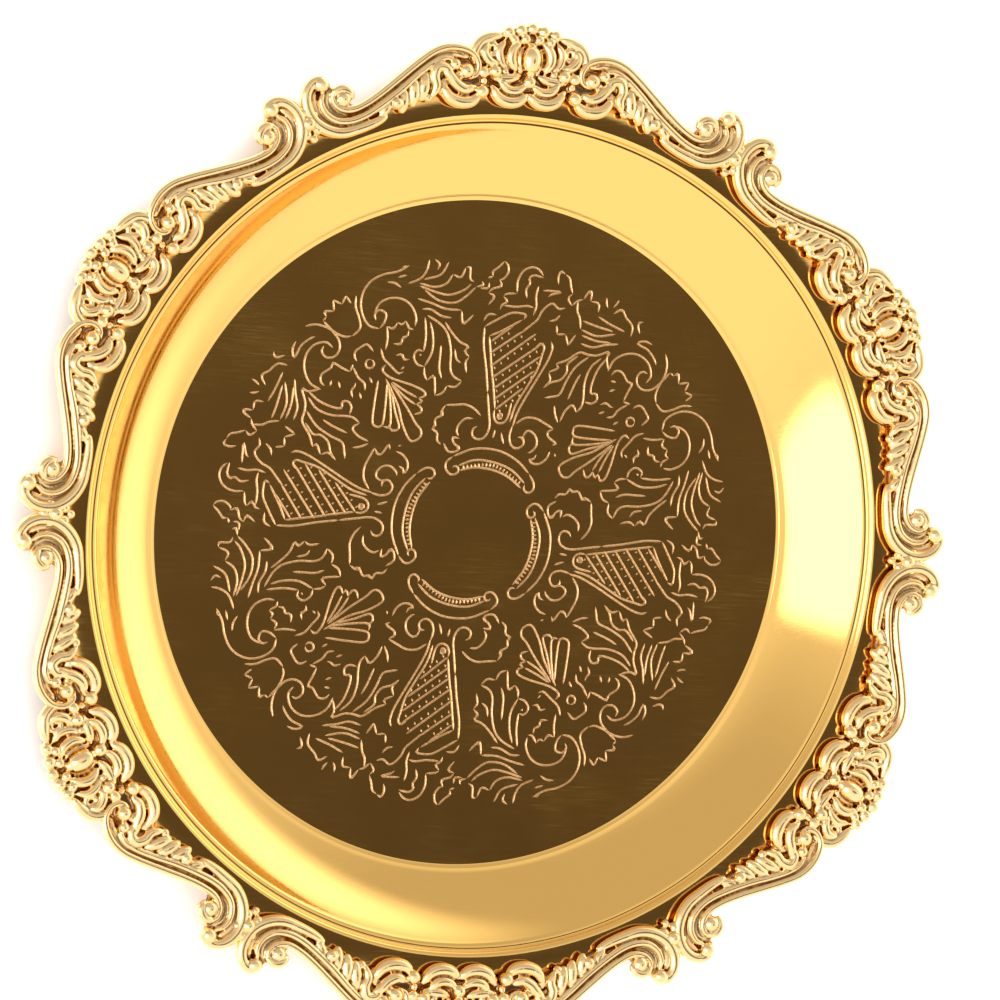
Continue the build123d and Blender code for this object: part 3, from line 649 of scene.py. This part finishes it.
def sweep_bar(body, line, half_widths, middle):
    """Adds a closed round bar along a level line to a body, with a round cap at each end."""
    along = np.gradient(line, axis=0)
    along /= np.linalg.norm(along, axis=1)[:, None]
    rings = []
    first, last = half_widths[0], half_widths[-1]
    caps = [pi / 2 * (1 - step / CAP_STEPS) for step in range(CAP_STEPS)]
    for cap in caps:
        rings.append((line[0] - along[0] * first * sin(cap), along[0], first * cos(cap)))
    rings += list(zip(line, along, half_widths))
    for cap in reversed(caps):
        rings.append((line[-1] + along[-1] * last * sin(cap), along[-1], last * cos(cap)))
    points, faces = body
    start = len(points)
    for (x, y), (ax, ay), half in rings:
        for side in range(BAR_SIDES):
            turn = 2 * pi * side / BAR_SIDES
            points.append((x - ay * half * cos(turn), y + ax * half * cos(turn), middle + half * sin(turn)))
    for ring in range(len(rings) - 1):
        for side in range(BAR_SIDES):
            a = start + ring * BAR_SIDES + side
            b = start + ring * BAR_SIDES + (side + 1) % BAR_SIDES
            faces.append((a, b, b + BAR_SIDES, a + BAR_SIDES))
    faces.append(tuple(range(start + BAR_SIDES - 1, start - 1, -1)))
    faces.append(tuple(range(start + (len(rings) - 1) * BAR_SIDES, start + len(rings) * BAR_SIDES)))


def add_bar(body, points, half_width, height):
    """A bar through a few points, slimmer at both ends."""
    line = np.array(smooth_line(points, BAR_STEPS))
    swell = np.sqrt(np.maximum(np.sin(np.linspace(0, pi, len(line))), 0))
    sweep_bar(body, line, half_width * (SLIM_END + (1 - SLIM_END) * swell), FLANGE_TOP + height)


def add_bead(body, middle, radius, height):
    """A ball."""
    turns = [pi * step / BEAD_STEPS for step in range(BEAD_STEPS + 1)]
    line = np.array([(middle[0] - radius * cos(turn), middle[1]) for turn in turns])
    sweep_bar(body, line, [radius * sin(turn) for turn in turns], FLANGE_TOP + height)


def add_petal(body, foot, tip, half_width, height):
    """A long egg shape from foot to tip."""
    foot, tip = np.array(foot), np.array(tip)
    turns = [pi * step / BEAD_STEPS for step in range(BEAD_STEPS + 1)]
    line = np.array([foot + (tip - foot) * (1 - cos(turn)) / 2 for turn in turns])
    sweep_bar(body, line, [half_width * sin(turn) for turn in turns], FLANGE_TOP + height)


def add_loop(body, middle, half_width, half_length, bar, height):
    """A ring-shaped petal with a hollow middle."""
    turns = [2 * pi * step / (2 * BEAD_STEPS) for step in range(2 * BEAD_STEPS + 1)]
    x, y = middle
    line = np.array([(x + half_width * cos(turn), y + half_length * sin(turn)) for turn in turns])
    sweep_bar(body, line, [bar] * len(line), FLANGE_TOP + height)


def add_prism(body, outline, low, high):
    """A flat plate under the relief, from its outline."""
    points, faces = body
    start = len(points)
    count = len(outline)
    points += [(x, y, low) for x, y in outline] + [(x, y, high) for x, y in outline]
    faces.append(tuple(start + place for place in reversed(range(count))))
    faces.append(tuple(start + count + place for place in range(count)))
    for place in range(count):
        after = (place + 1) % count
        faces.append((start + place, start + after, start + count + after, start + count + place))


def add_web(body, outline, lips):
    """The casting's flat back and the lips that hook over the flange's edge."""
    smooth = [tuple(point) for point in smooth_line(outline, WEB_STEPS, closed=True)]
    add_prism(body, smooth, FLANGE_TOP + WEB_BOTTOM, FLANGE_TOP + WEB_TOP)
    for first_angle, last_angle in lips:
        angles = np.radians(np.linspace(first_angle, last_angle, LIP_STEPS + 1))
        ring = [(LIP_OUTER * sin(angle), LIP_OUTER * cos(angle)) for angle in reversed(angles)]
        ring += [(LIP_INNER * sin(angle), LIP_INNER * cos(angle)) for angle in angles]
        add_prism(body, ring, FLANGE_TOP + LIP_DEPTH, FLANGE_TOP + WEB_TOP / 2)


def mirrored(points):
    """The same points on the other side of the +Y axis."""
    return [(-x, y) for x, y in points]


def rosette_body():
    """The flower with its leaves, in two mirrored halves."""
    body = ([], [])
    other_half = mirrored(ROSETTE_HALF_WEB[-2:0:-1])
    add_web(body, list(ROSETTE_HALF_WEB) + other_half, ROSETTE_LIP)
    for points, half_width, height in ROSETTE_HALF_BARS:
        add_bar(body, points, half_width, height)
        add_bar(body, mirrored(points), half_width, height)
    for middle, *rest in ROSETTE_HALF_LOOPS:
        add_loop(body, middle, *rest)
        add_loop(body, (-middle[0], middle[1]), *rest)
    for middle, *rest in ROSETTE_HALF_BEADS:
        add_bead(body, middle, *rest)
        add_bead(body, (-middle[0], middle[1]), *rest)
    for bead in ROSETTE_BEADS:
        add_bead(body, *bead)
    add_bar(body, *BOSS)
    return body


def scroll_body():
    """The S-scroll on the rosette's +X side, with its shell, leaf fringe and volute."""
    body = ([], [])
    add_web(body, SCROLL_WEB, SCROLL_LIPS)
    for bar in SCROLL_BARS:
        add_bar(body, *bar)
    for petal in SCROLL_PETALS:
        add_petal(body, *petal)
    for bead in SCROLL_BEADS:
        add_bead(body, *bead)
    return body


def bud_body():
    """The small bud between two volutes."""
    body = ([], [])
    add_web(body, BUD_WEB, BUD_LIP)
    for bead in BUD_BEADS:
        add_bead(body, *bead)
    return body


def fused(body):
    """One skin round all the overlapping pieces of a body, softened like a casting, and each point's share of
    painted shade, full in its hollows and low over the flange.
    """
    points, faces = body
    mesh = bpy.data.meshes.new("casting")
    mesh.from_pydata(points, [], faces)
    piece = bpy.data.objects.new("casting", mesh)
    bpy.context.scene.collection.objects.link(piece)
    remesh = piece.modifiers.new("fuse", "REMESH")
    remesh.mode = "VOXEL"
    remesh.voxel_size = VOXEL
    skin = piece.evaluated_get(bpy.context.evaluated_depsgraph_get()).to_mesh()
    count = len(skin.vertices)
    places = np.empty(count * 3)
    skin.vertices.foreach_get("co", places)
    places = places.reshape(count, 3)
    edges = np.empty(len(skin.edges) * 2, int)
    skin.edges.foreach_get("vertices", edges)
    edges = edges.reshape(-1, 2)
    corners = [tuple(polygon.vertices) for polygon in skin.polygons]
    bpy.data.objects.remove(piece)
    bpy.data.meshes.remove(mesh)
    places = blurred(places, edges, SOFTENING)
    # Painted shade: a point darkens as far as it lies under the smoothed form around it, and as it comes low
    # over the flange
    wide = blurred(places, edges, NEIGHBOURHOOD)
    painted_shade_share = np.clip((wide - places)[:, 2] / FULL_SHADE_HOLLOW, 0, 1)
    height = places[:, 2] - FLANGE_TOP
    low_shade = np.clip((LOW_SHADE_FROM - height) / LOW_SHADE_SPAN, 0, 1)
    return places, corners, np.maximum(painted_shade_share, low_shade)


def blurred(places, edges, rounds):
    """Every point moved halfway to the middle of its neighbours, a number of times."""
    degree = np.bincount(edges.ravel(), minlength=len(places))
    for _ in range(rounds):
        sums = np.zeros_like(places)
        for axis in range(3):
            sums[:, axis] = np.bincount(edges[:, 0], places[edges[:, 1], axis], len(places))
            sums[:, axis] += np.bincount(edges[:, 1], places[edges[:, 0], axis], len(places))
        places = (places + sums / degree[:, None]) / 2
    return places


def place_mount(name, template, turn, mirror, material):
    """One casting at its place on the border, in the stead of its CAD node."""
    places, corners, painted_shade_share = template
    angle = radians(turn)
    side = -1 if mirror else 1
    x = places[:, 0] * side
    y = places[:, 1]
    turned = np.column_stack((x * cos(angle) - y * sin(angle), x * sin(angle) + y * cos(angle), places[:, 2]))
    faces = [corner[::-1] for corner in corners] if mirror else corners
    piece = make_mesh("cast_" + name, turned, faces)
    # The casting's painted shade, darker in its hollows and low places, kept as a point attribute for its
    # material
    painted_recess_shade = piece.data.attributes.new("painted_recess_shade", "FLOAT", "POINT")
    painted_recess_shade.data.foreach_set("value", painted_shade_share)
    piece.data.materials.append(material)
    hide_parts(name)
    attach(piece, "root")


def build_border():
    """All 24 castings."""
    material = cast_gold()
    rosette = fused(rosette_body())
    scroll = fused(scroll_body())
    bud = fused(bud_body())
    for sector in range(SECTORS):
        turn = sector * SECTOR_ANGLE
        place_mount(f"rosette_mount_{sector + 1}", rosette, turn, False, material)
        place_mount(f"right_scroll_mount_{sector + 1}", scroll, turn, False, material)
        place_mount(f"left_scroll_mount_{sector + 1}", scroll, turn, True, material)
        place_mount(f"bud_mount_{sector + 1}", bud, turn + SECTOR_ANGLE / 2, False, material)


# ---------------------------------------------------------------- materials
GILT = (1.0, 0.61, 0.18)
POLISH = 0.07  # roughness for a viewer that doesn't know the wear pattern
SCRATCH_TURN = -8  # direction of the fine scratches, in degrees from +X
SCRATCH_STRETCH = (0.04, 1, 1)
SCRATCH_SCALE = 6.0  # scratches to the millimetre
SMEAR_SCALE = 0.09
PLAIN = (1, 1, 1)  # a pattern that isn't drawn out
MARK_DETAIL = 4
WEAR_RANGE = (0.16, 0.46)  # scratches times smears, from clean polish to worn
WORN_ROUGHNESS = (0.045, 0.17)
SCRATCH_BUMP = (0.03, 0.05)  # strength, and depth in millimetres
ENGRAVED_ROUGHNESS = 0.36
CHATTER_SCALE = 5.0  # tool marks in the engraved lines to the millimetre
CHATTER_RANGE = (0.35, 0.65)
CHATTER_BUMP = (0.3, 0.02)
ENGRAVED_COLOURS = ((0.52, 0.28, 0.11), (0.84, 0.53, 0.27))
CAST_ROUGHNESS = 0.2
CASTING_GRAIN = 3.0  # lumps of the cast skin to the millimetre
GRAIN_BUMP = (0.25, 0.03)
RECESS_SHADE_RANGE = (0.0, 0.8)  # share of painted shade, from a high place with none to the full painted shade of a recess
# The gilt's own colour, then the dark brown painted as shade in the castings' hollows
CAST_AND_SHADE_COLOURS = ((1.0, 0.71, 0.35), (0.17, 0.055, 0.008))


def math_node(tree, operation, *inputs):
    """A math node fed by numbers or sockets."""
    node = tree.nodes.new("ShaderNodeMath")
    node.operation = operation
    for socket, value in zip(node.inputs, inputs):
        if isinstance(value, (int, float)):
            socket.default_value = value
        else:
            tree.links.new(value, socket)
    return node.outputs[0]


def gold(name, roughness):
    """A gilt material of one roughness."""
    material = bpy.data.materials.new(name)
    material.use_nodes = True
    shader = material.node_tree.nodes["Principled BSDF"]
    shader.inputs["Base Color"].default_value = (*GILT, 1)
    shader.inputs["Metallic"].default_value = 1.0
    shader.inputs["Roughness"].default_value = roughness
    return material


def marks(tree, turn, stretch, scale):
    """A noise pattern over the object, drawn out along one direction when it is stretched."""
    mapping = tree.nodes.new("ShaderNodeMapping")
    mapping.inputs["Rotation"].default_value = (0, 0, radians(turn))
    mapping.inputs["Scale"].default_value = stretch
    place = tree.nodes.new("ShaderNodeTexCoord").outputs["Object"]
    tree.links.new(place, mapping.inputs["Vector"])
    noise = tree.nodes.new("ShaderNodeTexNoise")
    noise.inputs["Scale"].default_value = scale / UNIT
    noise.inputs["Detail"].default_value = MARK_DETAIL
    tree.links.new(mapping.outputs["Vector"], noise.inputs["Vector"])
    return noise.outputs["Fac"]


def add_bump(tree, height, bump_values):
    """Fine unevenness of the metal's skin."""
    strength, depth = bump_values
    bump = tree.nodes.new("ShaderNodeBump")
    bump.inputs["Strength"].default_value = strength
    bump.inputs["Distance"].default_value = depth * UNIT
    tree.links.new(height, bump.inputs["Height"])
    tree.links.new(bump.outputs["Normal"], tree.nodes["Principled BSDF"].inputs["Normal"])


def ramp_colour(tree, share, places, colours):
    """The metal's colour along a ramp of two colours."""
    ramp = tree.nodes.new("ShaderNodeValToRGB")
    for stop, place, colour in zip(ramp.color_ramp.elements, places, colours):
        stop.position = place
        stop.color = (*colour, 1)
    tree.links.new(share, ramp.inputs[0])
    tree.links.new(ramp.outputs[0], tree.nodes["Principled BSDF"].inputs["Base Color"])


def polished_gold():
    """Mirror-polished gilding of the dish, with faint wiping marks and fine scratches."""
    material = gold("polished_gold", POLISH)
    tree = material.node_tree
    scratches = marks(tree, SCRATCH_TURN, SCRATCH_STRETCH, SCRATCH_SCALE)
    smears = marks(tree, 0, PLAIN, SMEAR_SCALE)
    roughness = tree.nodes.new("ShaderNodeMapRange")
    tree.links.new(math_node(tree, "MULTIPLY", scratches, smears), roughness.inputs["Value"])
    roughness.inputs["From Min"].default_value = WEAR_RANGE[0]
    roughness.inputs["From Max"].default_value = WEAR_RANGE[1]
    roughness.inputs["To Min"].default_value = WORN_ROUGHNESS[0]
    roughness.inputs["To Max"].default_value = WORN_ROUGHNESS[1]
    tree.links.new(roughness.outputs["Result"], tree.nodes["Principled BSDF"].inputs["Roughness"])
    add_bump(tree, scratches, SCRATCH_BUMP)
    return material


def engraved_gold():
    """The bottom of the engraved lines, which the tool leaves duller and a little chattered."""
    material = gold("engraved_gold", ENGRAVED_ROUGHNESS)
    tree = material.node_tree
    chatter = marks(tree, 0, PLAIN, CHATTER_SCALE)
    ramp_colour(tree, chatter, CHATTER_RANGE, ENGRAVED_COLOURS)
    add_bump(tree, chatter, CHATTER_BUMP)
    return material


def cast_gold():
    """Gilt casting, with painted shade that darkens its hollows and its low places over the flange."""
    material = gold("cast_gold", CAST_ROUGHNESS)
    tree = material.node_tree
    add_bump(tree, marks(tree, 0, PLAIN, CASTING_GRAIN), GRAIN_BUMP)
    # The painted shade, read from the casting's point attribute
    painted_recess_shade = tree.nodes.new("ShaderNodeAttribute")
    painted_recess_shade.attribute_name = "painted_recess_shade"
    ramp_colour(tree, painted_recess_shade.outputs["Fac"], RECESS_SHADE_RANGE, CAST_AND_SHADE_COLOURS)
    return material


dish = build_dish()
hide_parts("dish")
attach(dish, "root")

build_border()


# ---------------------------------------------------------------- stage
FLOOR_HALF = 1.5
FLOOR_COLOUR = (0.92, 0.915, 0.9)
FLOOR_ROUGHNESS = 0.85


def build_floor():
    """A large pale floor under the dish."""
    half = FLOOR_HALF
    low = cad_box[0][2]
    mesh = bpy.data.meshes.new("floor")
    corners = [(-half, -half, low), (half, -half, low), (half, half, low), (-half, half, low)]
    mesh.from_pydata(corners, [], [(0, 1, 2, 3)])
    floor = bpy.data.objects.new("floor", mesh)
    bpy.context.scene.collection.objects.link(floor)
    material = bpy.data.materials.new("pale_floor")
    material.use_nodes = True
    shader = material.node_tree.nodes["Principled BSDF"]
    shader.inputs["Base Color"].default_value = (*FLOOR_COLOUR, 1)
    shader.inputs["Roughness"].default_value = FLOOR_ROUGHNESS
    mesh.materials.append(material)


# The studio's large panels: three soft white ones and a grey side. Each has the azimuth and elevation of its
# middle and half its width and height, all in degrees, its softness, its squareness and its colour.
PANELS = {
    "side_softbox": (280, 34, 60, 42, 0.4, 4, (1.25, 1.23, 1.18)),
    "shaded_side": (95, 30, 65, 38, 0.4, 4, (0.62, 0.6, 0.56)),
    "low_softbox": (25, 14, 40, 12, 0.6, 2, (2.2, 2.15, 2.05)),
    "key_softbox": (193, 45, 25, 23, 0.15, 8, (3.4, 3.4, 3.4)),
}
SURROUNDINGS = (1.0, 0.98, 0.94)
FLAG = (-17.0, 67.5)  # azimuth and elevation of the dark flag that the flat metal mirrors
FLAG_COLOURS = (  # distance from its middle in degrees, and colour
    (0.0, (0.09, 0.072, 0.052)),
    (17.0, (0.14, 0.115, 0.085)),
)
FLAG_EDGE = (10.5, 17.0)  # it fades out between these distances
MIX_UNDER, MIX_OVER, MIX_RESULT = 6, 7, 2  # the colour sockets of the Mix node

# The soft fill light and the camera
FILL_PLACE = (90, 80)  # azimuth and elevation
FILL_DISTANCE = 1.2
FILL_SIZE = 1.2
FILL_POWER = 22
CAMERA_PLACE = (172.83, 68.31)  # azimuth and elevation
CAMERA_DISTANCE = 0.6438
CAMERA_AIM = (0.0031, 0.0039)
PICTURE_UP = 94.74  # azimuth of the picture's upright
LENS = 208.65
SENSOR_WIDTH = 36.0
NEAREST = 0.01


def toward(azimuth, elevation):
    """The unit direction at an azimuth and an elevation in degrees."""
    a, e = radians(azimuth), radians(elevation)
    return Vector((cos(a) * cos(e), sin(a) * cos(e), sin(e)))


def dot_node(tree, direction, axis):
    """How far the looking direction goes along an axis."""
    node = tree.nodes.new("ShaderNodeVectorMath")
    node.operation = "DOT_PRODUCT"
    tree.links.new(direction, node.inputs[0])
    node.inputs[1].default_value = axis
    return node.outputs["Value"]


def panel_mask(tree, azimuth, elevation, panel):
    """1 inside a panel and 0 outside it, with a soft edge."""
    mid_azimuth, mid_elevation, half_width, half_height, softness, squareness = panel
    aside = math_node(tree, "WRAP", math_node(tree, "SUBTRACT", azimuth, mid_azimuth), 180, -180)
    above = math_node(tree, "SUBTRACT", elevation, mid_elevation)
    shares = []
    for offset, half in ((aside, half_width), (above, half_height)):
        share = math_node(tree, "ABSOLUTE", math_node(tree, "MULTIPLY", offset, 1 / half))
        shares.append(math_node(tree, "POWER", share, squareness))
    far = math_node(tree, "POWER", math_node(tree, "ADD", *shares), 1 / squareness)
    edge = tree.nodes.new("ShaderNodeMapRange")
    edge.interpolation_type = "SMOOTHSTEP"
    tree.links.new(far, edge.inputs["Value"])
    edge.inputs["From Min"].default_value = 1 + softness
    edge.inputs["From Max"].default_value = 1 - softness
    return edge.outputs["Result"]


def mixed_colour(tree, mask, under, over):
    """One colour over another where the mask says."""
    mix = tree.nodes.new("ShaderNodeMix")
    mix.data_type = "RGBA"
    tree.links.new(mask, mix.inputs["Factor"])
    for socket, value in ((mix.inputs[MIX_UNDER], under), (mix.inputs[MIX_OVER], over)):
        if isinstance(value, tuple):
            socket.default_value = (*value, 1)
        else:
            tree.links.new(value, socket)
    return mix.outputs[MIX_RESULT]


def flag_over(tree, direction, behind):
    """The dark flag overhead, a little lighter towards its edge, in front of the panels."""
    near = math_node(tree, "MINIMUM", dot_node(tree, direction, toward(*FLAG)), 1.0)
    distance = math_node(tree, "DIVIDE", math_node(tree, "ARCCOSINE", near), radians(1))
    ramp = tree.nodes.new("ShaderNodeValToRGB")
    farthest = FLAG_COLOURS[-1][0]
    tree.links.new(math_node(tree, "DIVIDE", distance, farthest), ramp.inputs[0])
    stops = ramp.color_ramp.elements
    for stop, (angle, colour) in zip(stops, FLAG_COLOURS):
        stop.position = angle / farthest
        stop.color = (*colour, 1)
    edge = tree.nodes.new("ShaderNodeMapRange")
    edge.interpolation_type = "SMOOTHSTEP"
    tree.links.new(distance, edge.inputs["Value"])
    edge.inputs["From Min"].default_value = FLAG_EDGE[1]
    edge.inputs["From Max"].default_value = FLAG_EDGE[0]
    return mixed_colour(tree, edge.outputs["Result"], behind, ramp.outputs[0])


def build_world():
    """A plain studio: soft white all round and one dark flag overhead."""
    world = bpy.data.worlds.new("studio")
    bpy.context.scene.world = world
    world.use_nodes = True
    tree = world.node_tree
    direction = tree.nodes.new("ShaderNodeTexCoord").outputs["Generated"]
    x, y, z = (dot_node(tree, direction, axis) for axis in ((1, 0, 0), (0, 1, 0), (0, 0, 1)))
    azimuth = math_node(tree, "DEGREES", math_node(tree, "ARCTAN2", y, x))
    elevation = math_node(tree, "DEGREES", math_node(tree, "ARCSINE", z))
    seen = SURROUNDINGS
    for *panel, colour in PANELS.values():
        seen = mixed_colour(tree, panel_mask(tree, azimuth, elevation, panel), seen, colour)
    tree.links.new(flag_over(tree, direction, seen), tree.nodes["Background"].inputs[0])


def add_fill():
    """A large square soft light over the dish, which its polish doesn't mirror."""
    light = bpy.data.lights.new("overhead_fill", "AREA")
    light.shape = "SQUARE"
    light.size = FILL_SIZE
    light.energy = FILL_POWER
    lamp = bpy.data.objects.new("overhead_fill", light)
    place = toward(*FILL_PLACE)
    lamp.location = place * FILL_DISTANCE
    lamp.rotation_euler = place.to_track_quat("Z", "Y").to_euler()
    lamp.visible_camera = False
    lamp.visible_glossy = False
    bpy.context.scene.collection.objects.link(lamp)


def build_camera():
    """The camera at the photograph's angle: above the dish, a little to its -X side."""
    aim = Vector((*CAMERA_AIM, WELL_TOP * UNIT))
    back = toward(*CAMERA_PLACE)
    right = toward(PICTURE_UP, 0).cross(back).normalized()
    up = back.cross(right)
    data = bpy.data.cameras.new("camera")
    data.lens = LENS
    data.sensor_width = SENSOR_WIDTH
    data.clip_start = NEAREST
    camera = bpy.data.objects.new("camera", data)
    place = aim + back * CAMERA_DISTANCE
    camera.matrix_world = Matrix((
        (right.x, up.x, back.x, place.x),
        (right.y, up.y, back.y, place.y),
        (right.z, up.z, back.z, place.z),
        (0, 0, 0, 1),
    ))
    bpy.context.scene.collection.objects.link(camera)
    bpy.context.scene.camera = camera


build_floor()
build_world()
add_fill()
build_camera()
bpy.context.scene.view_settings.view_transform = "Standard"
